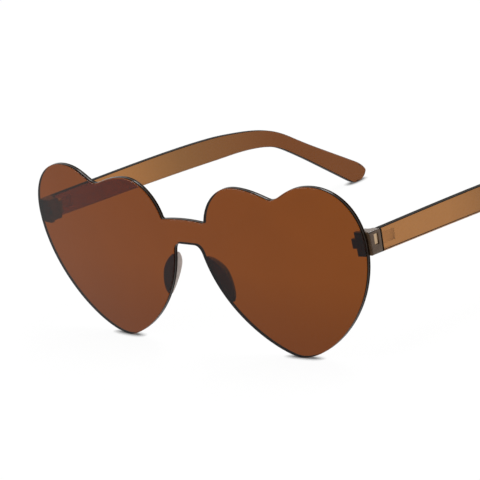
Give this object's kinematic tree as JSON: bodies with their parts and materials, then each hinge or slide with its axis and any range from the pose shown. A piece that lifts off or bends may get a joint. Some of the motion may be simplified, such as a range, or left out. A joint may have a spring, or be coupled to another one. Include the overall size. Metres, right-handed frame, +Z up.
{
  "type": "heart shaped sunglasses",
  "caption": "Rimless sunglasses with a one-piece tinted lens shaped as two joined hearts, bonded nose pads and end blocks, and two folding translucent temples.",
  "frame": {"origin": "on the table under the middle of the open glasses, at the centre of the bottom of their bounding box", "axes": "+X to the right seen from the front, +Y back along the temples towards the ears, +Z up; left and right in the names are as seen from the front"},
  "size_m": [0.146, 0.1502, 0.0556],
  "materials": {
    "lens_tint": "clear brown-tinted polycarbonate sheet, polished on both faces, with a darker polished cut edge",
    "temple_plastic": "translucent light brown moulded plastic, glossy, with dark looking edges",
    "smoke_plastic": "translucent smoke grey moulded plastic, glossy",
    "hinge_metal": "satin nickel-plated hinge leaf",
    "screw_steel": "small bright steel screw with a slotted head"
  },
  "bodies": {
    "front": {"lens": "lens_tint", "nose_pad_left": "smoke_plastic", "nose_pad_right": "smoke_plastic", "end_block_left": "smoke_plastic", "end_block_right": "smoke_plastic", "front_hinge_leaf_left": "hinge_metal", "front_hinge_leaf_right": "hinge_metal", "hinge_screw_left": "screw_steel", "hinge_screw_right": "screw_steel"},
    "left_temple": {"temple_left": "temple_plastic", "temple_hinge_leaf_left": "hinge_metal"},
    "right_temple": {"temple_right": "temple_plastic", "temple_hinge_leaf_right": "hinge_metal"}
  },
  "joints": [
    {"name": "left_temple_fold", "type": "hinge", "parent": "front", "child": "left_temple", "pos_m": [-0.0688, -0.06378, 0.03774], "axis": [0, -0.0576, -0.9983], "range_deg": [0, 91.4]},
    {"name": "right_temple_fold", "type": "hinge", "parent": "front", "child": "right_temple", "pos_m": [0.0688, -0.06378, 0.03774], "axis": [0, 0.0576, 0.9983], "range_deg": [0, 88.5]}
  ]
}
